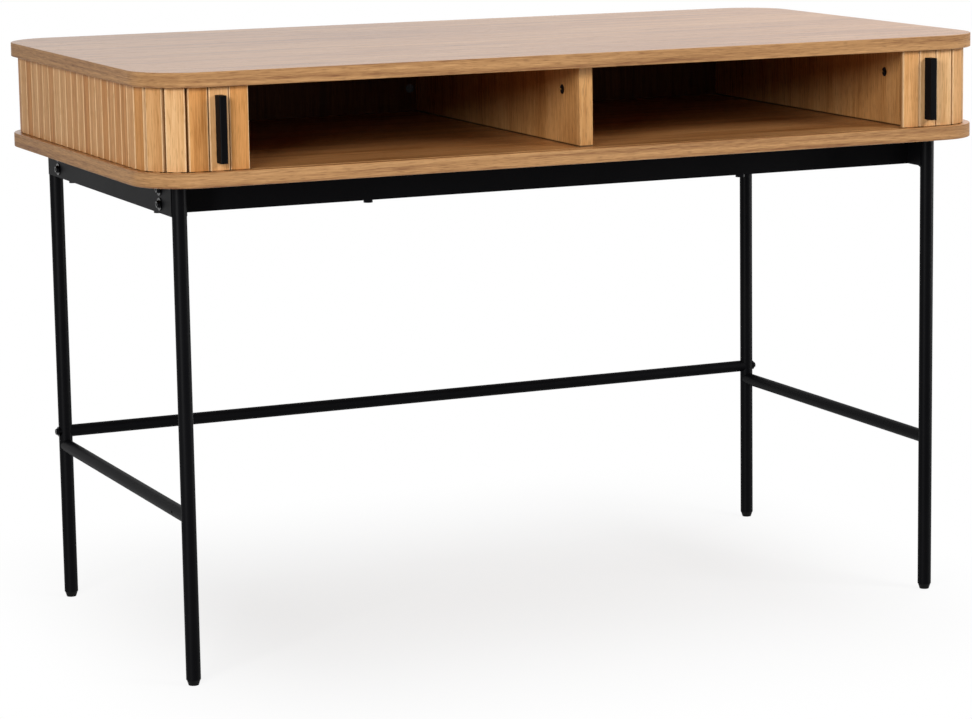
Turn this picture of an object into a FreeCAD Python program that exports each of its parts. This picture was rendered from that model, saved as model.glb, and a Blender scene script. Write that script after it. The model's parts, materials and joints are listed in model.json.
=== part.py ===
import FreeCAD, Part
import math
import os

# Desk with a shallow cabinet between two boards, closed by two tambour curtains, on a steel tube frame.
# Millimetres, +Z up, +X to the user's right, -Y towards the user.

# Boards
desk_width = 1150.0
desk_depth = 620.0
desk_height = 750.0
board_thickness = 18.0
board_corner_radius = 70.0
board_edge_round = 1.0
clear_height = 100.0

# Inner panels between the boards
panel_thickness = 18.0
panel_front_setback = 24.0
partition_reveal = 11.0
back_space = 54.0

# Tambour curtains
curtain_inset = 8.0
open_reveal = 128.0
meeting_gap = 0.5
slat_target_pitch = 24.8
lead_slats = 2
tail_gap = 2.0
slat_thickness = 7.0
slat_gap = 1.2
slat_edge_chamfer = 0.8
slat_end_gap = 1.0
tongue_thickness = 3.6
tongue_width = 10.0
groove_depth = 7.0
groove_play = 0.4
tongue_end_play = 1.0
canvas_thickness = 0.8
canvas_margin = 8.0
canvas_split_gap = 0.6

# Handles and their screws
handle_width = 9.0
handle_depth = 16.0
handle_height = 80.0
handle_round_share = 0.15
handle_screw_diameter = 4.0
handle_screw_head_diameter = 8.0
handle_screw_head_height = 2.2
handle_screw_bite = 10.0
handle_screw_spacing = 48.0

# Cam locks, their bolts and the wooden dowels that join the panels to the boards
cam_diameter = 12.0
cam_length = 12.5
cam_edge_distance = 32.0
cam_end_distance = 50.0
cam_beside_divider = 9.0
cam_slot_width = 2.4
cam_slot_depth = 1.2
cam_bolt_diameter = 6.0
cam_bolt_anchor = 11.0
dowel_diameter = 8.0
dowel_length = 28.0
dowel_anchor = 11.0
dowel_end_distance = 88.0

# Steel frame
tube_diameter = 18.0
tube_wall = 1.5
leg_inset_side = 57.0
leg_inset_front = 64.0
leg_inset_rear = 52.0
rail_width = 20.0
rail_height = 40.0
rail_wall = 1.5
front_rail_setback = 42.0
rear_rail_setback = 46.0
end_plate_thickness = 4.0
gusset_length = 14.0
gusset_drop = 10.0
gusset_thickness = 6.0
gusset_waist_share = 0.3
side_stretcher_diameter = 17.0
side_stretcher_height = 208.0
rear_stretcher_diameter = 16.0
rear_stretcher_height = 227.0
stretcher_wall = 1.5
vent_hole_diameter = 4.0
vent_hole_setback = 38.0

# Bolts, washers, plugs, screws and feet
bolt_diameter = 6.0
bolt_head_diameter = 10.5
bolt_head_height = 3.3
bolt_head_top_share = 0.72
bolt_socket_width = 4.0
bolt_socket_depth = 1.8
bolt_spacing = 18.0
washer_diameter = 15.5
washer_thickness = 1.2
saddle_diameter = 13.0
plug_length = 14.0
screw_diameter = 4.0
screw_head_diameter = 11.5
screw_head_height = 4.0
screw_bite = 12.0
side_screw_setback = 78.0
cross_screw_place = 260.0
foot_height = 7.0
foot_bottom_diameter = 12.5
foot_top_diameter = 17.0
foot_stem_length = 18.0

# Fits shared by all pieces
hole_clearance = 0.3
thread_fit = 0.1
dowel_fit = 0.15
weld_gap = 0.1
overrun = 2.0

# Places worked out from the sizes above
half_width = desk_width / 2
half_depth = desk_depth / 2
ceiling = desk_height - board_thickness
cabinet_floor = ceiling - clear_height
frame_top = cabinet_floor - board_thickness
rail_low = frame_top - rail_height
rail_middle = (rail_low + frame_top) / 2
leg_x = half_width - leg_inset_side
front_leg_y = leg_inset_front - half_depth
rear_leg_y = half_depth - leg_inset_rear
leg_radius = tube_diameter / 2
front_rail_y = front_leg_y + front_rail_setback
rear_rail_y = rear_leg_y - rear_rail_setback
panel_front = panel_front_setback - half_depth
back_panel_rear = half_depth - back_space
back_panel_front = back_panel_rear - panel_thickness
open_edge = half_width - open_reveal
partition_inner = open_edge + partition_reveal
partition_middle = partition_inner + panel_thickness / 2
partition_outer = partition_inner + panel_thickness
door_travel = open_edge - meeting_gap / 2
slat_pitch = door_travel / round(door_travel / slat_target_pitch)
slat_width = slat_pitch - slat_gap
slat_low = cabinet_floor + slat_end_gap
slat_high = ceiling - slat_end_gap
depth_shift = (handle_depth - curtain_inset) / 2

X_AXIS = FreeCAD.Vector(1, 0, 0)
Y_AXIS = FreeCAD.Vector(0, 1, 0)
Z_AXIS = FreeCAD.Vector(0, 0, 1)
ORIGIN = FreeCAD.Vector(0, 0, 0)
os.makedirs("parts", exist_ok=True)


def save(name, *solids):
    # The origin is on the floor under the middle of the whole desk, handles included
    shape = solids[0].copy() if len(solids) == 1 else Part.makeCompound(list(solids))
    shape.translate(Y_AXIS * depth_shift)
    assert shape.isValid(), name
    shape.exportStep("parts/" + name + ".step")
    print(name, len(shape.Solids), round(shape.Volume))


def mirrored(solids):
    return [solid.mirror(ORIGIN, X_AXIS) for solid in solids]


def save_pair(name, *solids):
    save("left_" + name, *solids)
    save("right_" + name, *mirrored(solids))


def box(low, high):
    return Part.makeBox(high[0] - low[0], high[1] - low[1], high[2] - low[2], FreeCAD.Vector(*low))


def rod(diameter, length, start, direction):
    return Part.makeCylinder(diameter / 2, length, start, direction)


def tube(diameter, wall, length, start, direction):
    bore = rod(diameter - 2 * wall, length + 2 * overrun, start - direction * overrun, direction)
    return rod(diameter, length, start, direction).cut(bore)


def placed(shape, start, direction):
    moved = shape.copy()
    moved.Placement = FreeCAD.Placement(start, FreeCAD.Rotation(Z_AXIS, direction))
    return moved


def prism(points, low, high):
    corners = [FreeCAD.Vector(x, y, low) for x, y in points]
    outline = Part.makePolygon(corners + corners[:1])
    return Part.Face(outline).extrude(Z_AXIS * (high - low))


def rounded_plate(half_x, half_y, radius, low, high):
    # Flat plate with round corners: four quarter arcs joined by straight sides
    edges = []
    diagonal = radius / math.sqrt(2)
    for side_x, side_y in ((1, -1), (1, 1), (-1, 1), (-1, -1)):
        middle = FreeCAD.Vector(side_x * (half_x - radius), side_y * (half_y - radius), low)
        beside = middle + X_AXIS * side_x * radius
        ahead = middle + Y_AXIS * side_y * radius
        corner = middle + (X_AXIS * side_x + Y_AXIS * side_y) * diagonal
        first, last = (ahead, beside) if side_x * side_y < 0 else (beside, ahead)
        if edges:
            edges.append(Part.LineSegment(edges[-1].EndPoint, first))
        edges.append(Part.Arc(first, corner, last))
    edges.append(Part.LineSegment(edges[-1].EndPoint, edges[0].StartPoint))
    outline = Part.Wire([edge.toShape() for edge in edges])
    return Part.Face(outline).extrude(Z_AXIS * (high - low))


# Curtain path: the line of the slats' backs, measured from the middle of the front round the left side
back_x = half_width - curtain_inset - slat_thickness
back_y = half_depth - curtain_inset - slat_thickness
bend_radius = board_corner_radius - curtain_inset - slat_thickness
bend_run = bend_radius * math.pi / 2
straight_x = back_x - bend_radius
straight_y = back_y - bend_radius
side_start = straight_x + bend_run
side_end = side_start + 2 * straight_y
back_start = side_end + bend_run
slat_count = int((back_start + straight_x - tail_gap - open_edge) // slat_pitch)


def path_point(run):
    if run <= straight_x:
        return (-run, -back_y)
    if run <= side_start:
        turn = (run - straight_x) / bend_radius
        return (-straight_x - bend_radius * math.sin(turn), -straight_y - bend_radius * math.cos(turn))
    if run <= side_end:
        return (-back_x, run - side_start - straight_y)
    if run <= back_start:
        turn = (run - side_end) / bend_radius
        return (-straight_x - bend_radius * math.cos(turn), straight_y + bend_radius * math.sin(turn))
    return (run - back_start - straight_x, back_y)


seams = [path_point(open_edge + step * slat_pitch) for step in range(slat_count + 1)]

# One slat: a chamfered strip with a tongue at each end that runs in the boards' grooves
half_slat = slat_width / 2
shoulder = slat_thickness - slat_edge_chamfer
slat_outline = [(-half_slat, 0), (half_slat, 0), (half_slat, shoulder)]
slat_outline += [(half_slat - slat_edge_chamfer, slat_thickness), (slat_edge_chamfer - half_slat, slat_thickness)]
slat_outline += [(-half_slat, shoulder)]
tongue_back = (slat_thickness - tongue_thickness) / 2
tongue_front = tongue_back + tongue_thickness
tongue = box(
    (-tongue_width / 2, tongue_back, cabinet_floor - groove_depth),
    (tongue_width / 2, tongue_front, ceiling + groove_depth - tongue_end_play),
)
slat = prism(slat_outline, slat_low, slat_high).fuse(tongue).removeSplitter()


def slat_at(step):
    # The slat between two neighbouring seams, its back on the chord and its face outwards
    (x0, y0), (x1, y1) = seams[step], seams[step + 1]
    moved = slat.copy()
    middle = FreeCAD.Vector((x0 + x1) / 2, (y0 + y1) / 2, 0)
    turn = math.degrees(math.atan2(y1 - y0, x1 - x0))
    moved.Placement = FreeCAD.Placement(middle, FreeCAD.Rotation(Z_AXIS, turn))
    return moved


def canvas_strip(first, last, first_gap, last_gap):
    # Cloth glued to the backs of the slats from one seam to another, folded at each seam
    outer = [FreeCAD.Vector(x, y, 0) for x, y in seams[first : last + 1]]
    outer[0] += (outer[1] - outer[0]).normalize() * first_gap
    outer[-1] += (outer[-2] - outer[-1]).normalize() * last_gap
    inner = []
    for place, point in enumerate(outer):
        coming = point - outer[place - 1] if place else outer[1] - point
        going = outer[place + 1] - point if place < len(outer) - 1 else coming
        bisector = (coming.normalize() + going.normalize()).normalize()
        reach = canvas_thickness / bisector.dot(going.normalize())
        inner.append(point + FreeCAD.Vector(bisector.y, -bisector.x, 0) * reach)
    outline = [(point.x, point.y) for point in outer + inner[::-1]]
    return prism(outline, slat_low + canvas_margin, slat_high - canvas_margin)


# Tail of each curtain, in four stretches named for where the slats stand when the curtain is open
stretch_ends = {"front_corner": side_start, "side": side_end, "rear_corner": back_start, "back": math.inf}
stretches = {name: [] for name in stretch_ends}
for step in range(lead_slats, slat_count):
    middle_run = open_edge + (step + 0.5) * slat_pitch
    name = next(name for name, end in stretch_ends.items() if middle_run < end)
    stretches[name].append(slat_at(step))
for name, slats in stretches.items():
    save_pair(name + "_slats", *slats)
save_pair("curtain_canvas", canvas_strip(lead_slats, slat_count, canvas_split_gap / 2, slat_gap / 2))

# Front of each curtain: the meeting slat, the slat with the handle, their cloth, the handle and its screws
handle_x, slat_back_y = path_point(open_edge + (lead_slats - 0.5) * slat_pitch)
slat_face_y = slat_back_y - slat_thickness
screw_head_y = slat_back_y + canvas_thickness
handle_middle = (slat_low + slat_high) / 2
handle = box(
    (handle_x - handle_width / 2, slat_face_y - handle_depth, handle_middle - handle_height / 2),
    (handle_x + handle_width / 2, slat_face_y, handle_middle + handle_height / 2),
)
outer_edges = [edge for edge in handle.Edges if edge.BoundBox.YMax < slat_face_y - handle_depth / 2]
long_edges = [edge for edge in outer_edges if edge.BoundBox.ZLength > handle_height / 2]
handle = handle.makeFillet(handle_width * handle_round_share, long_edges)
handle_slat = slat_at(lead_slats - 1)
lead_canvas = canvas_strip(0, lead_slats, slat_gap / 2, canvas_split_gap / 2)
through_door = canvas_thickness + slat_thickness
handle_screw = rod(handle_screw_diameter, through_door + handle_screw_bite, ORIGIN, Z_AXIS)
handle_screw = handle_screw.fuse(rod(handle_screw_head_diameter, handle_screw_head_height, ORIGIN, -Z_AXIS))
handle_screw = handle_screw.removeSplitter()
handle_screws = []
for side in (-1, 1):
    start = FreeCAD.Vector(handle_x, screw_head_y, handle_middle + side * handle_screw_spacing / 2)
    handle_screws.append(placed(handle_screw, start, -Y_AXIS))
    passage = rod(handle_screw_diameter + 2 * hole_clearance, through_door, start, -Y_AXIS)
    handle_slat = handle_slat.cut(passage)
    lead_canvas = lead_canvas.cut(passage)
    bore_length = through_door + handle_screw_bite + thread_fit
    handle = handle.cut(rod(handle_screw_diameter + 2 * thread_fit, bore_length, start, -Y_AXIS))
save_pair("lead_slat", *[slat_at(step) for step in range(lead_slats - 1)])
save_pair("handle_slat", handle_slat)
save_pair("lead_canvas", lead_canvas)
save_pair("handle", handle)
save_pair("handle_screws", *handle_screws)

# Boards, each with a groove all round for the tongues of the slats
bend_sag = bend_radius * (1 - math.cos(slat_pitch / (2 * bend_radius)))
groove_outside = tongue_front + groove_play
groove_inside = tongue_back - bend_sag - groove_play


def groove_edge(offset, low, high):
    return rounded_plate(back_x + offset, back_y + offset, bend_radius + offset, low, high)


def grooved_board(low, groove_low, groove_high):
    plate = rounded_plate(half_width, half_depth, board_corner_radius, low, low + board_thickness)
    rims = [edge for edge in plate.Edges if edge.BoundBox.ZLength < board_thickness / 2]
    groove = groove_edge(groove_outside, groove_low, groove_high)
    groove = groove.cut(groove_edge(groove_inside, groove_low, groove_high))
    return plate.makeFillet(board_edge_round, rims).cut(groove)


boards = {
    "top_board": grooved_board(ceiling, ceiling - overrun, ceiling + groove_depth),
    "bottom_board": grooved_board(frame_top, cabinet_floor - groove_depth, cabinet_floor + overrun),
}

# Upright panels: the divider in the middle, a partition beside each curtain, and the inner back
upright_places = {"left_partition": -partition_middle, "centre_divider": 0, "right_partition": partition_middle}
panels = {}
for name, middle in upright_places.items():
    panels[name] = box(
        (middle - panel_thickness / 2, panel_front, cabinet_floor),
        (middle + panel_thickness / 2, back_panel_front, ceiling),
    )
panels["inner_back_panel"] = box(
    (-partition_outer, back_panel_front, cabinet_floor),
    (partition_outer, back_panel_rear, ceiling),
)

# Cam locks: a cam in a hole in the panel's face grips a bolt that is screwed into the board
cam_reach = cam_edge_distance + cam_bolt_anchor
slot_depth = cam_length - cam_slot_depth
half_slot = cam_slot_width / 2
cam = rod(cam_diameter, cam_length, ORIGIN, Z_AXIS)
cam = cam.cut(box((-cam_diameter, -half_slot, slot_depth), (cam_diameter, half_slot, cam_length)))
cam = cam.cut(box((-half_slot, -cam_diameter, slot_depth), (half_slot, cam_diameter, cam_length)))
cams = []
cam_bolts = []


def fit_cam(panel, board, face, outward, along):
    # face is a point on the panel's face, outward leaves that face, along leads to the board
    seat = face - outward * cam_length
    bolt_end = face - outward * (panel_thickness / 2)
    channel = rod(cam_bolt_diameter + 2 * hole_clearance, cam_edge_distance, bolt_end, along)
    pocket = rod(cam_diameter + 2 * dowel_fit, cam_length, seat, outward)
    anchor = rod(cam_bolt_diameter + 2 * thread_fit, cam_reach + thread_fit, bolt_end, along)
    panels[panel] = panels[panel].cut(pocket).cut(channel)
    boards[board] = boards[board].cut(anchor)
    cams.append(placed(cam, seat, outward).cut(channel))
    cam_bolts.append(rod(cam_bolt_diameter, cam_reach, bolt_end, along))


cam_faces = (
    ("left_partition", -partition_inner, X_AXIS),
    ("centre_divider", -panel_thickness / 2, -X_AXIS),
    ("right_partition", partition_inner, -X_AXIS),
)
for name, face_x, outward in cam_faces:
    for place in (panel_front + cam_end_distance, back_panel_front - cam_end_distance):
        face = FreeCAD.Vector(face_x, place, ceiling - cam_edge_distance)
        fit_cam(name, "top_board", face, outward, Z_AXIS)
back_cam = panel_thickness / 2 + cam_beside_divider
for place in (-back_cam, back_cam):
    face = FreeCAD.Vector(place, back_panel_front, cabinet_floor + cam_edge_distance)
    fit_cam("inner_back_panel", "bottom_board", face, -Y_AXIS, -Z_AXIS)
save("cam_locks", *cams)
save("cam_bolts", *cam_bolts)

# Wooden dowels: the uprights stand on dowels in the bottom board, the inner back hangs on dowels in the top
dowels = []


def fit_dowel(panel, board, seam, along):
    # seam is the point where panel and board meet, along leads into the board
    start = seam - along * (dowel_length - dowel_anchor)
    dowels.append(rod(dowel_diameter, dowel_length, start, along))
    hole_start = start - along * dowel_fit
    hole = rod(dowel_diameter + 2 * dowel_fit, dowel_length + 2 * dowel_fit, hole_start, along)
    panels[panel] = panels[panel].cut(hole)
    boards[board] = boards[board].cut(hole)


for name, middle in upright_places.items():
    for place in (panel_front + dowel_end_distance, back_panel_front - dowel_end_distance):
        fit_dowel(name, "bottom_board", FreeCAD.Vector(middle, place, cabinet_floor), -Z_AXIS)
back_panel_middle = back_panel_rear - panel_thickness / 2
far_dowel = partition_inner - dowel_end_distance
for place in (-far_dowel, -dowel_end_distance, dowel_end_distance, far_dowel):
    seam = FreeCAD.Vector(place, back_panel_middle, ceiling)
    fit_dowel("inner_back_panel", "top_board", seam, Z_AXIS)
save("panel_dowels", *dowels)
for name, panel in panels.items():
    save(name, panel)

# Legs: round tubes from the plastic feet up to the underside of the bottom board
leg_places = {
    "left_front": FreeCAD.Vector(-leg_x, front_leg_y, 0),
    "left_rear": FreeCAD.Vector(-leg_x, rear_leg_y, 0),
    "right_front": FreeCAD.Vector(leg_x, front_leg_y, 0),
    "right_rear": FreeCAD.Vector(leg_x, rear_leg_y, 0),
}
leg_length = frame_top - foot_height
foot_top = Z_AXIS * foot_height
legs = {name: tube(tube_diameter, tube_wall, leg_length, at + foot_top, Z_AXIS) for name, at in leg_places.items()}
stem_diameter = tube_diameter - 2 * tube_wall - 2 * hole_clearance
foot = Part.makeCone(foot_bottom_diameter / 2, foot_top_diameter / 2, foot_height)
foot = foot.fuse(rod(stem_diameter, foot_stem_length, foot_top, Z_AXIS)).removeSplitter()
for name, place in leg_places.items():
    save(name + "_foot", placed(foot, place, Z_AXIS))


def coped(shape, *names):
    # Cuts the ends of a rail, web or tube to the round of the legs that it is welded or bolted to
    for name in names:
        shape = shape.cut(rod(tube_diameter + 2 * weld_gap, leg_length, leg_places[name] + foot_top, Z_AXIS))
    return shape


def rectangular_tube(low, high, along):
    inner_low = [value + rail_wall for value in low]
    inner_high = [value - rail_wall for value in high]
    inner_low[along] = low[along] - overrun
    inner_high[along] = high[along] + overrun
    return box(low, high).cut(box(inner_low, inner_high))


# Button-head bolt: its shank runs up from the underside of the head, which has a hexagon socket
socket_radius = bolt_socket_width / math.sqrt(3)
socket_turns = [math.radians(60 * corner) for corner in range(6)]
socket_outline = [(socket_radius * math.cos(turn), socket_radius * math.sin(turn)) for turn in socket_turns]
socket = prism(socket_outline, -bolt_head_height, bolt_socket_depth - bolt_head_height)
bolt_head_radius = bolt_head_diameter / 2
bolt_head = Part.makeCone(
    bolt_head_radius, bolt_head_radius * bolt_head_top_share, bolt_head_height, ORIGIN, -Z_AXIS
).cut(socket)


def bolt(shank_length):
    return bolt_head.fuse(rod(bolt_diameter, shank_length, ORIGIN, Z_AXIS)).removeSplitter()


# Side rails, welded between the legs and drilled for the bolts of the cross rails
bolt_passage = bolt_diameter + 2 * hole_clearance
rail_outer = -leg_x - rail_width / 2
left_rail = rectangular_tube(
    (rail_outer, front_leg_y, rail_low), (rail_outer + rail_width, rear_leg_y, frame_top), 1
)
left_rail = coped(left_rail, "left_front", "left_rear")
rail_bolt = bolt(washer_thickness + rail_width + end_plate_thickness)
washer = rod(washer_diameter, washer_thickness, ORIGIN, Z_AXIS)
washer = washer.cut(rod(bolt_passage, washer_thickness, ORIGIN, Z_AXIS))
rail_bolts = []
washers = []
end_plates = []
for rail_y in (front_rail_y, rear_rail_y):
    plate_low = rail_outer + rail_width
    end_plate = box(
        (plate_low, rail_y - rail_width / 2, rail_low),
        (plate_low + end_plate_thickness, rail_y + rail_width / 2, frame_top),
    )
    for side in (-1, 1):
        start = FreeCAD.Vector(rail_outer - washer_thickness, rail_y, rail_middle + side * bolt_spacing / 2)
        left_rail = left_rail.cut(rod(bolt_passage, washer_thickness + rail_width, start, X_AXIS))
        tapped_length = washer_thickness + rail_width + end_plate_thickness
        end_plate = end_plate.cut(rod(bolt_diameter + 2 * thread_fit, tapped_length, start, X_AXIS))
        rail_bolts.append(placed(rail_bolt, start, X_AXIS))
        washers.append(placed(washer, start, X_AXIS))
    end_plates.append(end_plate)
save("rail_bolts", *rail_bolts, *mirrored(rail_bolts))
save("rail_washers", *washers, *mirrored(washers))
save("rail_end_plates", *end_plates, *mirrored(end_plates))
rails = {"left_side_rail": left_rail, "right_side_rail": mirrored([left_rail])[0]}

# Front and rear rails between the side rails
cross_half = leg_x - rail_width / 2 - end_plate_thickness
for name, rail_y in (("front_rail", front_rail_y), ("rear_rail", rear_rail_y)):
    low = (-cross_half, rail_y - rail_width / 2, rail_low)
    rails[name] = rectangular_tube(low, (cross_half, rail_y + rail_width / 2, frame_top), 0)

# Screws up through the rails into the bottom board
board_screw = rod(screw_diameter, rail_height + screw_bite, ORIGIN, Z_AXIS)
board_screw = board_screw.fuse(rod(screw_head_diameter, screw_head_height, ORIGIN, -Z_AXIS)).removeSplitter()
front_screw_y = front_leg_y + side_screw_setback
rear_screw_y = rear_leg_y - side_screw_setback
screw_places = {
    "left_side_rail": ((-leg_x, front_screw_y), (-leg_x, rear_screw_y)),
    "right_side_rail": ((leg_x, front_screw_y), (leg_x, rear_screw_y)),
    "front_rail": ((-cross_screw_place, front_rail_y), (cross_screw_place, front_rail_y)),
    "rear_rail": ((-cross_screw_place, rear_rail_y), (cross_screw_place, rear_rail_y)),
}
board_screws = []
for name, places in screw_places.items():
    for x, y in places:
        start = FreeCAD.Vector(x, y, rail_low)
        board_screws.append(placed(board_screw, start, Z_AXIS))
        rails[name] = rails[name].cut(rod(screw_diameter + 2 * hole_clearance, rail_height, start, Z_AXIS))
        pilot_length = rail_height + screw_bite + thread_fit
        pilot = rod(screw_diameter + 2 * thread_fit, pilot_length, start, Z_AXIS)
        boards["bottom_board"] = boards["bottom_board"].cut(pilot)
save("board_screws", *board_screws)
for name, rail in rails.items():
    save(name, rail)
for name, board in boards.items():
    save(name, board)

# Gussets: small flared webs under the ends of the side rails, welded to rail and leg
gussets = []
for leg_name, inward in (("left_front", 1), ("left_rear", -1)):
    root = leg_places[leg_name] + Z_AXIS * rail_low - X_AXIS * (gusset_thickness / 2)
    heel = root - Z_AXIS * gusset_drop
    tip = root + Y_AXIS * inward * (leg_radius + gusset_length)
    waist = root + Y_AXIS * inward * (leg_radius + gusset_length * gusset_waist_share)
    waist -= Z_AXIS * (gusset_drop * gusset_waist_share)
    sides = [Part.LineSegment(root, tip), Part.Arc(tip, waist, heel), Part.LineSegment(heel, root)]
    web = Part.Face(Part.Wire([side.toShape() for side in sides])).extrude(X_AXIS * gusset_thickness)
    gussets.append(coped(web, leg_name))
save("rail_gussets", *gussets, *mirrored(gussets))

# Side stretchers, welded low between the legs of each side, with a vent hole in the outer side
stretcher_start = FreeCAD.Vector(-leg_x, front_leg_y, side_stretcher_height)
leg_span = rear_leg_y - front_leg_y
side_stretcher = tube(side_stretcher_diameter, stretcher_wall, leg_span, stretcher_start, Y_AXIS)
vent_start = stretcher_start + Y_AXIS * vent_hole_setback
side_stretcher = side_stretcher.cut(rod(vent_hole_diameter, side_stretcher_diameter, vent_start, -X_AXIS))
save_pair("side_stretcher", coped(side_stretcher, "left_front", "left_rear"))

# Rear stretcher, bolted between the rear legs into a tapped plug at each end, with saddle washers on the legs
leg_side = FreeCAD.Vector(-leg_x - leg_radius, rear_leg_y, rear_stretcher_height)
rear_stretcher = tube(
    rear_stretcher_diameter, stretcher_wall, 2 * leg_x, leg_side + X_AXIS * leg_radius, X_AXIS
)
save("rear_stretcher", coped(rear_stretcher, "left_rear", "right_rear"))
plug_place = tube_diameter + weld_gap
plug_diameter = rear_stretcher_diameter - 2 * stretcher_wall - 2 * thread_fit
plug = rod(plug_diameter, plug_length, leg_side + X_AXIS * plug_place, X_AXIS)
plug = plug.cut(rod(bolt_diameter + 2 * thread_fit, plug_place + plug_length, leg_side, X_AXIS))
bolt_seat = leg_side - X_AXIS * washer_thickness
stretcher_bolt = placed(bolt(washer_thickness + plug_place + plug_length), bolt_seat, X_AXIS)
saddle = rod(saddle_diameter, washer_thickness + leg_radius, bolt_seat, X_AXIS)
saddle = coped(saddle.cut(rod(bolt_passage, washer_thickness + leg_radius, bolt_seat, X_AXIS)), "left_rear")
leg_hole = rod(bolt_passage, tube_diameter, leg_side, X_AXIS)
legs["left_rear"] = legs["left_rear"].cut(leg_hole)
legs["right_rear"] = legs["right_rear"].cut(mirrored([leg_hole])[0])
save("stretcher_plugs", plug, *mirrored([plug]))
save("stretcher_bolts", stretcher_bolt, *mirrored([stretcher_bolt]))
save("stretcher_washers", saddle, *mirrored([saddle]))
for name, leg in legs.items():
    save(name + "_leg", leg)
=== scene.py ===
import bmesh
import bpy
import json
import math
import random
from mathutils import Matrix, Vector


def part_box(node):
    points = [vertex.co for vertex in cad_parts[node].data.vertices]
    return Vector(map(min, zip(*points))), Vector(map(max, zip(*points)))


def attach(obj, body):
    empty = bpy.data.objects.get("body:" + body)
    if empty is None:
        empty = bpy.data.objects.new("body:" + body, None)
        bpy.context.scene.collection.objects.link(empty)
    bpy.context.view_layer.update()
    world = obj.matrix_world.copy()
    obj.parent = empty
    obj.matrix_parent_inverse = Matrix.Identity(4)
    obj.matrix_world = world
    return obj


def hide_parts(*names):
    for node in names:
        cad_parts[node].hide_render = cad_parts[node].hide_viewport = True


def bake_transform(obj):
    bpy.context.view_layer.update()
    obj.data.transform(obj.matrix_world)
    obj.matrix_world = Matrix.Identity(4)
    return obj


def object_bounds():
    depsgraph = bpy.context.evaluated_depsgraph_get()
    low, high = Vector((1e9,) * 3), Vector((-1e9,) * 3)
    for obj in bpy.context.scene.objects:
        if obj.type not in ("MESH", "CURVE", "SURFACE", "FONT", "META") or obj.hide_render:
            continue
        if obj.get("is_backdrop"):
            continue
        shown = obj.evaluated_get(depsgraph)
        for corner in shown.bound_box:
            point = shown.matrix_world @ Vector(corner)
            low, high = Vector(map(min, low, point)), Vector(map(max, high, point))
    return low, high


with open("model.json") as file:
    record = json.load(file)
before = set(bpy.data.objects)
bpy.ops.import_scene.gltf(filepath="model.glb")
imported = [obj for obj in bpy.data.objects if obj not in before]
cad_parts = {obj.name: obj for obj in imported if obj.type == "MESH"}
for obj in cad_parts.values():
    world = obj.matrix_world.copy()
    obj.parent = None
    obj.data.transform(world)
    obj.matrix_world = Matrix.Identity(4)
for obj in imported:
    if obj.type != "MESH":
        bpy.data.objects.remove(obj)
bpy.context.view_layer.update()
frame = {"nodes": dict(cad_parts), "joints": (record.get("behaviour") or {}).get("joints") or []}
nodes = frame["nodes"]
mm = 0.001


# Steel frame: four legs and three stretchers of round tube, rails of flat tube, small welded gussets.
# Mild steel under a black powder coat, baked on, so all edges and welds have one even skin.
def linear(code):
    # An sRGB hex colour as the linear colour that the shaders take
    shares = [int(code[place : place + 2], 16) / 255 for place in (1, 3, 5)]
    return [s / 12.92 if s <= 0.04045 else ((s + 0.055) / 1.055) ** 2.4 for s in shares] + [1]


def add(tree, kind, inputs=None, **settings):
    # One node with its settings, its fixed values and its links
    node = tree.nodes.new("ShaderNode" + kind)
    for name, value in settings.items():
        setattr(node, name, value)
    for name, value in (inputs or {}).items():
        if isinstance(value, bpy.types.NodeSocket):
            tree.links.new(value, node.inputs[name])
        else:
            node.inputs[name].default_value = value
    return node


def start_finish(name, **sockets):
    # A new material with its constant values set on the shader's own sockets
    material = bpy.data.materials.new(name)
    material.use_nodes = True
    tree = material.node_tree
    shader = tree.nodes["Principled BSDF"]
    for socket, value in sockets.items():
        shader.inputs[socket.replace("_", " ")].default_value = value
    return material, tree, shader


def coat(tree, shader, drift, colours, roughness, relief, strength, depth):
    # Colour and roughness drift with one noise over the surface; a fine relief breaks up the highlights
    tint = add(tree, "ValToRGB", {"Fac": drift.outputs["Fac"]})
    for element, code in zip(tint.color_ramp.elements, colours):
        element.color = linear(code)
    tree.links.new(tint.outputs["Color"], shader.inputs["Base Color"])
    least, most = roughness
    rough = add(tree, "MapRange", {"Value": drift.outputs["Fac"], "To Min": least, "To Max": most})
    tree.links.new(rough.outputs["Result"], shader.inputs["Roughness"])
    bump = add(tree, "Bump", {"Height": relief.outputs["Fac"], "Strength": strength, "Distance": depth})
    tree.links.new(bump.outputs["Normal"], shader.inputs["Normal"])


def dress(material, *names):
    # A CAD piece keeps its shape and takes this finish
    for name in names:
        nodes[name].material_slots[0].material = material


# Powder coat: satin, nearly black, with a faint orange peel that breaks up the highlights.
# The peel is about 1 mm across in life and is drawn at 2 mm so that it shows.
powder_coat, tree, shader = start_finish("satin_black_powder_coat", Specular_IOR_Level=0.025)
place = add(tree, "TexCoord").outputs["Object"]
peel = add(tree, "TexNoise", {"Vector": place, "Scale": 1 / (2 * mm), "Detail": 2, "Roughness": 0.5})
cloud = add(tree, "TexNoise", {"Vector": place, "Scale": 1 / (60 * mm), "Detail": 3, "Roughness": 0.6})
coat(tree, shader, cloud, ("#030304", "#070708"), (0.4, 0.48), peel, 0.12, 0.1 * mm)

tubes = ["front_rail", "rear_rail", "rear_stretcher", "rail_gussets", "rail_end_plates", "stretcher_plugs"]
for side in ("left", "right"):
    tubes += [side + "_front_leg", side + "_rear_leg", side + "_side_rail", side + "_side_stretcher"]
dress(powder_coat, *tubes)


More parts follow.
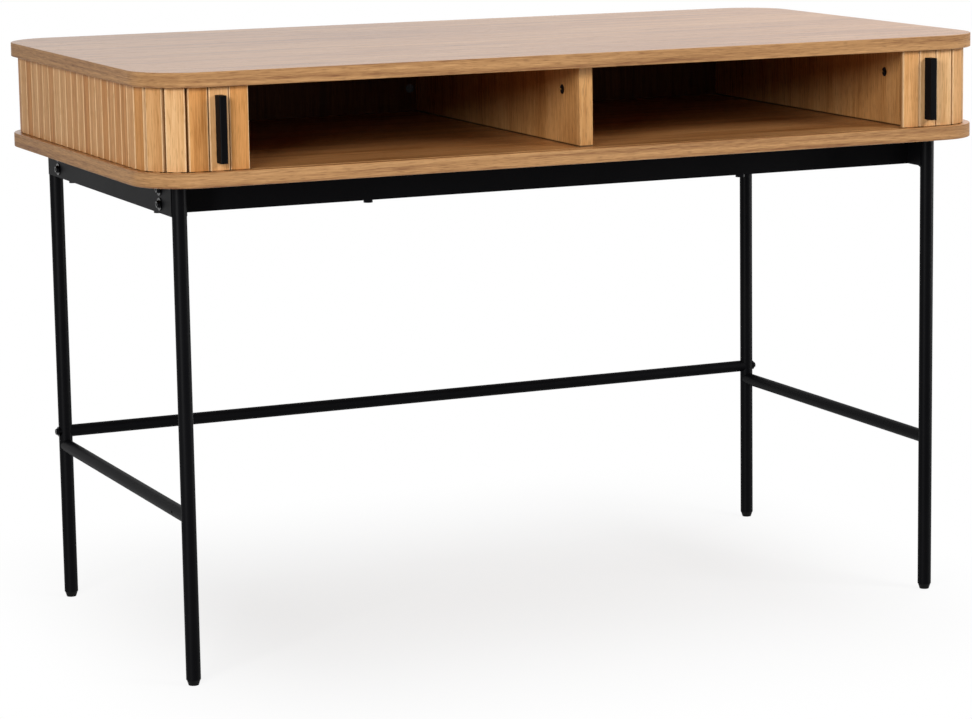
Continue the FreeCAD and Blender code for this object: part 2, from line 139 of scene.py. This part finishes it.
# Feet: tapered plugs pressed into the leg ends, which keep the steel off the floor.
# Moulded polypropylene, matt black, with the faint grain of the mould.
moulded, tree, shader = start_finish("matt_black_polypropylene", IOR=1.49, Specular_IOR_Level=0.1)
place = add(tree, "TexCoord").outputs["Object"]
grain = add(tree, "TexNoise", {"Vector": place, "Scale": 1 / (0.8 * mm), "Detail": 3, "Roughness": 0.6})
coat(tree, shader, grain, ("#060606", "#0E0E0E"), (0.5, 0.66), grain, 0.2, 0.1 * mm)
dress(moulded, *[side + end + "_foot" for side in ("left_", "right_") for end in ("front", "rear")])


# Bolts, washers and screws: button-head bolts through the side rails, pan-head screws up into the board.
# Steel with black oxide, a thin dark skin that leaves the metal's small sharp highlights.
black_oxide, tree, shader = start_finish("black_oxide_steel", Metallic=1.0)
place = add(tree, "TexCoord").outputs["Object"]
bloom = add(tree, "TexNoise", {"Vector": place, "Scale": 1 / (3 * mm), "Detail": 4, "Roughness": 0.65})
coat(tree, shader, bloom, ("#0A0A0B", "#161618"), (0.18, 0.3), bloom, 0.1, 0.05 * mm)
dress(black_oxide, "rail_bolts", "rail_washers", "stretcher_bolts", "stretcher_washers", "board_screws")


# Boards: bottom and top, chipboard faced with oak veneer and banded with oak at the edges.
# The grain runs along the desk; the eased corners and the matt lacquer catch a thin pale line.
figure_length = 420 * mm
pore_width = 1.1 * mm
pore_length = 14 * mm


def oak_grain(tree, place, light, middle, dark, figure_width, fibre_width=3.2 * mm, fibre_length=70 * mm):
    # Colour, height and pore mask of oak whose grain runs along the third coordinate of place.
    # Figure bands and fibres are real sizes; pores are drawn about twice as wide so that they show.
    def along(width, length):
        scale = (1 / width, 1 / width, 1 / length)
        return add(tree, "Mapping", {"Vector": place, "Scale": scale}).outputs["Vector"]

    bands = along(figure_width, figure_length)
    figure = add(tree, "TexNoise", {"Vector": bands, "Scale": 1, "Detail": 2, "Distortion": 0.5})
    threads = along(fibre_width, fibre_length)
    fibre = add(tree, "TexNoise", {"Vector": threads, "Scale": 1, "Detail": 3, "Roughness": 0.65})
    pore = add(tree, "TexNoise", {"Vector": along(pore_width, pore_length), "Scale": 1, "Detail": 1})
    both = add(tree, "Mix", {"Factor": 0.55, "A": figure.outputs["Fac"], "B": fibre.outputs["Fac"]})
    ramp = add(tree, "ValToRGB", {"Fac": both.outputs["Result"]})
    ramp.color_ramp.elements[0].position = 0.34
    ramp.color_ramp.elements[0].color = linear(dark)
    ramp.color_ramp.elements[1].position = 0.66
    ramp.color_ramp.elements[1].color = linear(light)
    ramp.color_ramp.elements.new(0.5).color = linear(middle)
    depth = {"Value": pore.outputs["Fac"], "From Min": 0.56, "From Max": 0.7, "To Max": 0.45}
    mask = add(tree, "MapRange", depth)
    height = add(tree, "Math", {0: fibre.outputs["Fac"], 1: mask.outputs["Result"]}, operation="SUBTRACT")
    return ramp.outputs["Color"], height.outputs["Value"], mask.outputs["Result"]


def lacquer_oak(tree, shader, colour, height, mask, pore_tint, dull, satin):
    # Pores darken the wood, dull its lacquer and lie a little below the surface
    shown = add(tree, "Mix", {"Factor": mask, "A": colour, "B": linear(pore_tint)}, data_type="RGBA")
    tree.links.new(shown.outputs[2], shader.inputs["Base Color"])
    sheen = {"Value": height, "From Min": -0.2, "From Max": 0.8, "To Min": dull, "To Max": satin}
    gloss = add(tree, "MapRange", sheen)
    tree.links.new(gloss.outputs["Result"], shader.inputs["Roughness"])
    bump = add(tree, "Bump", {"Height": height, "Strength": 0.18, "Distance": 0.25 * mm})
    tree.links.new(bump.outputs["Normal"], shader.inputs["Normal"])


edge_band = {"figure_width": 6 * mm, "fibre_width": 1.0 * mm, "fibre_length": 30 * mm}
# A face counts as flat, not as edge, from this upward share of its normal
level_from = 0.75
board_oak, tree, shader = start_finish("oak_veneer_boards", Specular_IOR_Level=0.6)
board_low, board_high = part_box("top_board")
spot = add(tree, "SeparateXYZ", {"Vector": add(tree, "TexCoord").outputs["Object"]}).outputs
turned = add(tree, "CombineXYZ", {"X": spot["Y"], "Y": spot["Z"], "Z": spot["X"]}).outputs["Vector"]
face, face_height, face_mask = oak_grain(tree, turned, "#D49E66", "#B9814C", "#8A5425", 20 * mm)
# The band's grain follows the edge round both front corners; its ends meet in the middle of the back
behind = add(tree, "Math", {0: spot["Y"], 1: board_low.y}, operation="SUBTRACT").outputs[0]
which_end = add(tree, "Math", {0: spot["X"]}, operation="SIGN").outputs[0]
round_edge = add(tree, "Math", {0: behind, 1: which_end, 2: spot["X"]}, operation="MULTIPLY_ADD").outputs[0]
edge_place = add(tree, "CombineXYZ", {"X": spot["Z"], "Z": round_edge}).outputs["Vector"]
band, band_height, band_mask = oak_grain(tree, edge_place, "#C99A68", "#AB7F52", "#72482B", **edge_band)
facing = add(tree, "SeparateXYZ", {"Vector": add(tree, "NewGeometry").outputs["Normal"]}).outputs["Z"]
upward = add(tree, "Math", {0: facing}, operation="ABSOLUTE").outputs[0]
flat = add(tree, "Math", {0: upward, 1: level_from}, operation="GREATER_THAN").outputs[0]
colour = add(tree, "Mix", {"Factor": flat, "A": band, "B": face}, data_type="RGBA").outputs[2]
height = add(tree, "Mix", {"Factor": flat, "A": band_height, "B": face_height}).outputs["Result"]
mask = add(tree, "Mix", {"Factor": flat, "A": band_mask, "B": face_mask}).outputs["Result"]
# The pressed faces have more sheen than the banded edges
dull = add(tree, "MapRange", {"Value": flat, "To Min": 0.72, "To Max": 0.34}).outputs["Result"]
satin = add(tree, "MapRange", {"Value": flat, "To Min": 0.62, "To Max": 0.26}).outputs["Result"]
lacquer_oak(tree, shader, colour, height, mask, "#6E4A2C", dull, satin)
dress(board_oak, "bottom_board", "top_board")


# Inner panels: two partitions and the divider in the middle, doweled and bolted to both boards.
# The same veneered board, cut with the grain upright.
panel_oak, tree, shader = start_finish("oak_veneer_panels")
place = add(tree, "TexCoord").outputs["Object"]
colour, height, mask = oak_grain(tree, place, "#D4A36A", "#C59158", "#A26E3A", 30 * mm)
# Painted shadow: where a panel stands on the bottom board, a thin dark line stands in for the shadow in the
# joint
joint_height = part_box("centre_divider")[0].z
level = add(tree, "SeparateXYZ", {"Vector": place}).outputs["Z"]
joint_shade_low = joint_height + 1.2 * mm
joint_shade_high = joint_height + 2.4 * mm
joint_shade_fade = {"Value": level, "From Min": joint_shade_low, "From Max": joint_shade_high, "To Min": 0.9, "To Max": 0.0}
painted_joint_shadow = add(tree, "MapRange", joint_shade_fade).outputs["Result"]
shadow = linear("#1E1208")
colour = add(tree, "Mix", {"Factor": painted_joint_shadow, "A": colour, "B": shadow}, data_type="RGBA").outputs[2]
lacquer_oak(tree, shader, colour, height, mask, "#63401F", 0.56, 0.44)
dress(panel_oak, "left_partition", "right_partition", "centre_divider")

# Inner back: the panel that closes both compartments, in front of the curtains' way along the back.
# Painted shade: its oak veneer is drawn much darker than the other panels', so that the compartments end in
# shadow.
painted_shade_back_oak, tree, shader = start_finish("oak_veneer_back_painted_shade", Specular_IOR_Level=0.2)
place = add(tree, "TexCoord").outputs["Object"]
colour, height, mask = oak_grain(tree, place, "#6A4526", "#5C3A1F", "#472B16", 30 * mm)
lacquer_oak(tree, shader, colour, height, mask, "#2E1B0D", 0.6, 0.5)
dress(painted_shade_back_oak, "inner_back_panel")

# Dowels: fluted beech pins, glued, between panels and boards.
# Beech has no bands, only short fine flecks.
beech, tree, shader = start_finish("raw_beech")
place = add(tree, "TexCoord").outputs["Object"]
colour, height, mask = oak_grain(tree, place, "#D2B088", "#C8A47A", "#BC966A", 12 * mm)
lacquer_oak(tree, shader, colour, height, mask, "#9A7448", 0.7, 0.6)
dress(beech, "panel_dowels")

# Cam locks and their bolts: zinc die castings turned in round pockets of the panels, and plated steel pins.
# The plating is drawn dark grey and a little cloudy.
zinc, tree, shader = start_finish("zinc_plate", Metallic=1.0)
place = add(tree, "TexCoord").outputs["Object"]
cloud = add(tree, "TexNoise", {"Vector": place, "Scale": 1 / (4 * mm), "Detail": 4, "Roughness": 0.6})
coat(tree, shader, cloud, ("#3C3C3E", "#6A6A6D"), (0.28, 0.5), cloud, 0.15, 0.05 * mm)
dress(zinc, "cam_locks", "cam_bolts", "left_handle_screws", "right_handle_screws")


# Tambour curtains: oak slats side by side, their tongues in the boards' grooves, each curtain one row
# from the front round the corner and along the side to the back. Solid oak with eased long edges.
middle_y = (board_low.y + board_high.y) / 2
slat_thickness = 7 * mm
slat_gap = 1.2 * mm
curtain_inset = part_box("left_side_slats")[0].x - board_low.x
board_radius = 70 * mm
back_x = board_high.x - curtain_inset - slat_thickness
back_y = (board_high.y - board_low.y) / 2 - curtain_inset - slat_thickness
bend_radius = board_radius - curtain_inset - slat_thickness
bend_run = bend_radius * math.pi / 2
straight_x = back_x - bend_radius
straight_y = back_y - bend_radius
side_start = straight_x + bend_run
side_end = side_start + 2 * straight_y
back_start = side_end + bend_run
open_edge = -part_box("left_lead_slat")[1].x - slat_gap / 2
travel = frame["joints"][0]["range_m"][1]
runout_count = 18
pitch = travel / runout_count
half_slat = (pitch - slat_gap) / 2
cloth_margin = 8 * mm
slat_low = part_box("left_lead_canvas")[0].z - cloth_margin
slat_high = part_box("left_lead_canvas")[1].z + cloth_margin
slat_ease = 0.9 * mm
tongue_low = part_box("left_lead_slat")[0].z
tongue_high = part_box("left_lead_slat")[1].z
half_tongue = 5 * mm
tongue_back = 1.7 * mm
tongue_front = 5.3 * mm
tongue_ease = 0.4 * mm


def path_point(run):
    # The line of the slats' backs, measured from the middle of the front round the left side
    if run <= straight_x:
        return Vector((-run, middle_y - back_y, 0))
    if run <= side_start:
        turn = (run - straight_x) / bend_radius
        past_x = bend_radius * math.sin(turn)
        past_y = bend_radius * math.cos(turn)
        return Vector((-straight_x - past_x, middle_y - straight_y - past_y, 0))
    if run <= side_end:
        return Vector((-back_x, middle_y + run - side_start - straight_y, 0))
    if run <= back_start:
        turn = (run - side_end) / bend_radius
        past_x = bend_radius * math.cos(turn)
        past_y = bend_radius * math.sin(turn)
        return Vector((-straight_x - past_x, middle_y + straight_y + past_y, 0))
    return Vector((run - back_start - straight_x, middle_y + back_y, 0))


def block(low, high):
    # A box between two corners, in a bmesh of its own
    shape = bmesh.new()
    size = Vector(high) - Vector(low)
    middle = (Vector(low) + Vector(high)) / 2
    place = Matrix.Translation(middle) @ Matrix.Diagonal((*size, 1))
    bmesh.ops.create_cube(shape, size=1, matrix=place)
    return shape


def ease(shape, edges, width, segments):
    # Rounds the given edges, or with one segment breaks them
    bmesh.ops.bevel(
        shape, geom=edges, offset=width, affect="EDGES", segments=segments, profile=0.5, material=-1
    )


def make_slat():
    # One slat, upright, with its back at y = 0; its tongue is longer and runs in both boards' grooves
    slat = block((-half_slat, 0, slat_low), (half_slat, slat_thickness, slat_high))
    front_edges = [e for e in slat.edges if all(v.co.y > slat_thickness / 2 for v in e.verts)]
    long_edges = [e for e in front_edges if e.verts[0].co.x == e.verts[1].co.x]
    ease(slat, long_edges, slat_ease, 3)
    tongue = block((-half_tongue, tongue_back, tongue_low), (half_tongue, tongue_front, tongue_high))
    ease(tongue, tongue.edges[:], tongue_ease, 1)
    mesh = bpy.data.meshes.new("slat")
    tongue.to_mesh(mesh)
    slat.from_mesh(mesh)
    slat.to_mesh(mesh)
    tongue.free()
    slat.free()
    return mesh


def set_in_scene(name, shape, material):
    # The finished bmesh as an object with its material
    mesh = bpy.data.meshes.new(name)
    shape.to_mesh(mesh)
    shape.free()
    mesh.materials.append(material)
    piece = bpy.data.objects.new(name, mesh)
    bpy.context.scene.collection.objects.link(piece)
    return piece


def lay_slats(name, places, tones):
    # Copies of one slat at the given places, each with its own stretch of grain and its own tone
    rows = bmesh.new()
    local = rows.verts.layers.float_vector.new("slat_local")
    stock = rows.verts.layers.float_vector.new("slat_stock")
    tone = rows.verts.layers.float.new("slat_tone")
    for place, own_tone in zip(places, tones):
        count = len(rows.verts)
        rows.from_mesh(slat_mesh)
        rows.verts.ensure_lookup_table()
        shift = Vector([draw.uniform(-2, 2) for _ in range(3)])
        for vert in rows.verts[count:]:
            vert[local] = vert.co
            vert[stock] = shift
            vert[tone] = own_tone
            vert.co = place @ vert.co
    piece = set_in_scene(name, rows, slat_oak)
    return piece


def slat_place(run, side):
    # Where the slat from this run to the next seam stands; its face looks outwards
    first, last = path_point(run), path_point(run + pitch)
    way = last - first
    middle = (first + last) / 2
    turn = math.atan2(way.y, way.x)
    middle.x *= side
    return Matrix.Translation(middle) @ Matrix.Rotation(turn * side, 4, "Z")


slat_oak, tree, shader = start_finish("oak_slats", Specular_IOR_Level=0.18)
local = add(tree, "Attribute", attribute_name="slat_local").outputs["Vector"]
stock = add(tree, "Attribute", attribute_name="slat_stock").outputs["Vector"]
own = add(tree, "Attribute", attribute_name="slat_tone").outputs["Fac"]
place = add(tree, "VectorMath", {0: local, 1: stock}, operation="ADD").outputs["Vector"]
slat_grain = {"figure_width": 14 * mm, "fibre_width": 1.6 * mm, "fibre_length": 45 * mm}
deep, height, mask = oak_grain(tree, place, "#D99B5B", "#C8894A", "#A2672F", **slat_grain)
pale, _, _ = oak_grain(tree, place, "#F4CFA0", "#ECC18D", "#D6A269", **slat_grain)
colour = add(tree, "Mix", {"Factor": own, "A": deep, "B": pale}, data_type="RGBA").outputs[2]
# Painted highlight: the eased long edges are drawn paler than the face, as if catching the light; the sides
# below them are drawn dark
spot = add(tree, "SeparateXYZ", {"Vector": local}).outputs
from_middle = add(tree, "Math", {0: spot["X"]}, operation="ABSOLUTE").outputs[0]
rim_start = half_slat - 1.6 * mm
rim_end = half_slat - 0.6 * mm
rim = {"Value": from_middle, "From Min": rim_start, "From Max": rim_end, "To Max": 0.7}
painted_edge_highlight = add(tree, "MapRange", rim, interpolation_type="SMOOTHSTEP").outputs["Result"]
edge_highlight_tint = linear("#F2D0A2")
colour = add(tree, "Mix", {"Factor": painted_edge_highlight, "A": colour, "B": edge_highlight_tint}, data_type="RGBA").outputs[2]
# Painted shade: the dark sides are raw wood and also stand in for the shade in the seams between slats
depth = {"Value": spot["Y"], "From Min": 2.0 * mm, "From Max": 5.4 * mm, "To Min": 0.8, "To Max": 0.0}
raw_wood_and_seam_shade = add(tree, "MapRange", depth, interpolation_type="SMOOTHSTEP").outputs["Result"]
raw_wood_and_seam_shade_tint = linear("#8F5A20")
colour = add(tree, "Mix", {"Factor": raw_wood_and_seam_shade, "A": colour, "B": raw_wood_and_seam_shade_tint}, data_type="RGBA").outputs[2]
lacquer_oak(tree, shader, colour, height, mask, "#A5763F", 0.62, 0.5)

draw = random.Random(26)
slat_mesh = make_slat()
slat_count = 48
lead_slats = 2
front_tones = {"left": [0.1, 0.4, 0.1, 0.72, 0.4, 0.05], "right": [0.3, 0.55, 0.75, 0.45, 0.4, 0.4]}
stretches = {"front_corner": side_start, "side": side_end, "rear_corner": back_start, "back": math.inf}
for side, sign in (("left", 1), ("right", -1)):
    runs = [open_edge + step * pitch for step in range(slat_count)]
    tones = front_tones[side] + [draw.uniform(0.0, 0.4) for _ in runs[len(front_tones[side]) :]]
    for n, (name, node) in enumerate((("_meeting_slat", "_lead_slat"), ("_gripped_slat", "_handle_slat"))):
        front = lay_slats(side + name, [slat_place(runs[n], sign)], [tones[n]])
        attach(front, side + "_door")
        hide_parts(side + node)
    start = -math.inf
    for stretch, end in stretches.items():
        chosen = [n for n in range(lead_slats, slat_count) if start <= runs[n] + pitch / 2 < end]
        places = [slat_place(runs[n], sign) for n in chosen]
        row = lay_slats(side + "_" + stretch + "_row", places, [tones[n] for n in chosen])
        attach(row, "desk")
        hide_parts(side + "_" + stretch + "_slats")
        start = end


# Slats that follow the front pair when a curtain is drawn, laid here only at rest. At rest they are drawn
# together into the slat with the handle, where they don't show; closed, they would stand at the curtain's
# own pitch.
hidden_width = 6 * mm
hidden_inset = 1.2 * mm
hidden_outer = open_edge + lead_slats * pitch - slat_gap / 2 - hidden_inset
hidden_inner = hidden_outer - hidden_width
recess = 0.2 * mm
halvings = 50


def drawn_together(x):
    # The rest place of a point that stands at x, from the middle, when the curtain is closed.
    # A point is taken to move by a smooth step of its share of the way, so the share is found by halving.
    low, high = 0.0, 1.0
    for _ in range(halvings):
        share = (low + high) / 2
        moved = hidden_outer - share * hidden_width - travel * share * share * (3 - 2 * share)
        low, high = (share, high) if moved > x else (low, share)
    return hidden_outer - low * hidden_width


slim = Matrix.Diagonal((1, 1 - 2 * recess / slat_thickness, 1, 1))
inwards = Matrix.Translation((0, recess, 0))
for side, sign in (("left", 1), ("right", -1)):
    runs = [open_edge + (lead_slats + step) * pitch - travel for step in range(runout_count)]
    places = [slat_place(run, sign) @ inwards @ slim for run in runs]
    follow = lay_slats(side + "_following_slats", places, [draw.uniform(0.0, 0.7) for _ in runs])
    for vert in follow.data.vertices:
        vert.co.x = math.copysign(drawn_together(abs(vert.co.x)), vert.co.x)
        vert.co.z += recess if vert.co.z < (slat_low + slat_high) / 2 else -recess
    start = (-sign * hidden_outer, 0, 0)
    end = (-sign * hidden_inner, 0, 0)
    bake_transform(follow)


# Curtain cloth: cotton canvas glued to the backs of the slats, which makes each curtain bend as one.
# Plain weave of thick yarn, about 0.9 mm from thread to thread, drawn dark brown so that the seams look
# dark.
cloth_thickness = 0.8 * mm
cloth_end = 0.6 * mm
thread_spacing = 0.9 * mm
yarn = 2 * math.pi / thread_spacing
canvas, tree, shader = start_finish("cotton_canvas", Roughness=0.9)
place = add(tree, "TexCoord").outputs["Object"]
spot = add(tree, "SeparateXYZ", {"Vector": place}).outputs
across = add(tree, "Math", {0: spot["X"], 1: spot["Y"]}, operation="ADD").outputs[0]
threads = []
for position in (across, spot["Z"]):
    phase = add(tree, "Math", {0: position, 1: yarn}, operation="MULTIPLY").outputs[0]
    threads.append(add(tree, "Math", {0: phase}, operation="SINE").outputs[0])
weave = add(tree, "Math", {0: threads[0], 1: threads[1]}, operation="MULTIPLY").outputs[0]
slub = add(tree, "TexNoise", {"Vector": place, "Scale": 1 / (5 * mm), "Detail": 3})
tint = add(tree, "ValToRGB", {"Fac": slub.outputs["Fac"]})
tint.color_ramp.elements[0].color = linear("#59390F")
tint.color_ramp.elements[1].color = linear("#704A18")
tree.links.new(tint.outputs["Color"], shader.inputs["Base Color"])
bump = add(tree, "Bump", {"Height": weave, "Strength": 0.5, "Distance": 0.2 * mm})
tree.links.new(bump.outputs["Normal"], shader.inputs["Normal"])
for side, sign in (("left", 1), ("right", -1)):
    pair = [side + "_lead_slat", side + "_handle_slat"]
    rows = [side + "_" + stretch + "_slats" for stretch in stretches]
    for name, first, last, node, body, glued_to in (
        ("lead_cloth", 0, lead_slats, "lead_canvas", side + "_door", pair),
        ("curtain_cloth", lead_slats, slat_count, "curtain_canvas", "desk", rows),
    ):
        low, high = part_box(side + "_" + node)
        line = bmesh.new()
        ends = [cloth_end] + [0] * (last - first - 1) + [-cloth_end]
        points = [path_point(open_edge + (first + n) * pitch + end) for n, end in enumerate(ends)]
        verts = [line.verts.new((p.x * sign, p.y, low.z)) for p in points]
        edges = [line.edges.new(span) for span in zip(verts, verts[1:])]
        risen = bmesh.ops.extrude_edge_only(line, edges=edges)["geom"]
        top = [v for v in risen if isinstance(v, bmesh.types.BMVert)]
        bmesh.ops.translate(line, verts=top, vec=(0, 0, high.z - low.z))
        cloth = set_in_scene(side + "_" + name, line, canvas)
        thick = cloth.modifiers.new("thickness", "SOLIDIFY")
        thick.thickness = cloth_thickness
        # Away from the slats, into the cabinet
        thick.offset = -1 if sign > 0 else 1
        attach(cloth, body)
        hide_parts(side + "_" + node)


# Handles: one bar on the second slat of each curtain, held by two screws from behind.
# Flat steel bar set on edge, its front edges eased, under the same black powder coat as the frame.
dress(powder_coat, "left_handle", "right_handle")


# Studio: a round sheet of white paper on the floor, two soft boxes in front at the sides and one above.
# Seen directly or in a reflection, the paper fades to the white of the room away from the desk.
paper_radius = 1.9
# How much of the shadow under the desk shows through the white, and between which distances that fades
shade_share = 0.32
shade_width = (0.3, 0.68)
shade_depth = (0.0, 0.72)
room_light = 0.06
paper, tree, shader = start_finish("white_paper_floor", Roughness=0.9, Specular_IOR_Level=0.0)
shader.inputs["Base Color"].default_value = linear("#F2F2F2")


def seen_plainly(tree):
    # 1 for light that reaches the lens straight, by a reflection or through glass
    ray = add(tree, "LightPath").outputs
    seen = ray["Is Camera Ray"]
    for kind in ("Is Glossy Ray", "Is Transmission Ray"):
        seen = add(tree, "Math", {0: seen, 1: ray[kind]}, operation="MAXIMUM").outputs[0]
    return seen


spot = add(tree, "SeparateXYZ", {"Vector": add(tree, "TexCoord").outputs["Object"]}).outputs
fades = []
for axis, (inner, outer), most in (("X", shade_width, shade_share), ("Y", shade_depth, 1.0)):
    from_middle = add(tree, "Math", {0: spot[axis]}, operation="ABSOLUTE").outputs[0]
    fade = {"Value": from_middle, "From Min": inner, "From Max": outer, "To Min": most, "To Max": 0.0}
    fades.append(add(tree, "MapRange", fade, interpolation_type="SMOOTHSTEP").outputs["Result"])
shaded = add(tree, "Math", {0: fades[0], 1: fades[1]}, operation="MULTIPLY").outputs[0]
white_share = add(tree, "Math", {0: 1.0, 1: shaded}, operation="SUBTRACT").outputs[0]
share = add(tree, "Math", {0: seen_plainly(tree), 1: white_share}, operation="MULTIPLY").outputs[0]
glow = add(tree, "Emission", {"Color": linear("#FFFFFF"), "Strength": 1})
both = add(tree, "MixShader", {"Fac": share, 1: shader.outputs[0], 2: glow.outputs[0]})
tree.links.new(both.outputs[0], tree.nodes["Material Output"].inputs["Surface"])
sheet = bmesh.new()
bmesh.ops.create_circle(sheet, cap_ends=True, segments=96, radius=paper_radius)
floor = set_in_scene("floor", sheet, paper)
floor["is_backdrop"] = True

world = bpy.data.worlds.new("studio")
world.use_nodes = True
bpy.context.scene.world = world
tree = world.node_tree
room = add(tree, "Background", {"Color": linear("#FFFFFF"), "Strength": room_light})
white = add(tree, "Background", {"Color": linear("#FFFFFF"), "Strength": 1})
both = add(tree, "MixShader", {"Fac": seen_plainly(tree), 1: room.outputs[0], 2: white.outputs[0]})
tree.links.new(both.outputs[0], tree.nodes["World Output"].inputs["Surface"])

target = Vector((0, 0, 0.65))


def hang_lamp(name, position, width, height, power):
    # A flat lamp that faces the desk
    lamp = bpy.data.lights.new(name, "AREA")
    lamp.shape = "RECTANGLE"
    lamp.size = width
    lamp.size_y = height
    lamp.energy = power
    holder = bpy.data.objects.new(name, lamp)
    facing = (target - Vector(position)).to_track_quat("-Z", "Y").to_matrix().to_4x4()
    holder.matrix_world = Matrix.Translation(position) @ facing
    bpy.context.scene.collection.objects.link(holder)
    return holder


# Each lamp's place, width, height and power; the soft boxes have no mirror image, so that the lacquered
# top has no glare when seen from behind
soft_boxes = {
    "left_soft_box": ((-2.42, -2.46, 1.72), 1.4, 1.1, 80),
    "right_soft_box": ((2.1, -2.4, 2.1), 1.4, 0.8, 64),
    "top_soft_box": ((1.3, 0.2, 2.0), 1.4, 1.6, 14),
}
for name, values in soft_boxes.items():
    hang_lamp(name, *values).visible_glossy = False

# Two tall strip lights for the black steel alone, which draw the upright highlights on the tubes
coated = bpy.data.collections.new("coated_steel")
for name in tubes + ["left_handle", "right_handle"]:
    coated.objects.link(nodes[name])
strips = {
    "left_strip": ((-3.0, -2.1, 0.8), 0.5, 1.6, 170),
    "right_strip": ((3.0, -0.9, 0.8), 0.4, 1.6, 120),
}
for name, values in strips.items():
    hang_lamp(name, *values).light_linking.receiver_collection = coated


# Camera: the photograph's place, in front of the desk's left end and a little above it.
# The lens is off the picture's middle only as far as the photograph's framing needs.
focal_pixels = 3315.4
centre_x, centre_y = 602.6, 330.3
image_width, image_height = 972, 719
camera_place = (-1.7696, -3.979, 1.083)
turn_degrees = -25.828
down_degrees = 9.453
roll_degrees = -0.557
lens = bpy.data.cameras.new("camera")
lens.sensor_fit = "HORIZONTAL"
lens.sensor_width = 36
lens.lens = focal_pixels / image_width * lens.sensor_width
lens.shift_x = (image_width / 2 - centre_x) / image_width
lens.shift_y = (centre_y - image_height / 2) / image_width
lens.clip_end = 200
camera = bpy.data.objects.new("camera", lens)
bpy.context.scene.collection.objects.link(camera)
swing = Matrix.Rotation(math.radians(turn_degrees), 4, "Z")
tilt = Matrix.Rotation(math.radians(90 - down_degrees), 4, "X")
roll = Matrix.Rotation(math.radians(roll_degrees), 4, "Z")
camera.matrix_world = Matrix.Translation(camera_place) @ swing @ tilt @ roll
bpy.context.scene.camera = camera
bpy.context.scene.view_settings.view_transform = "Standard"

low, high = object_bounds()
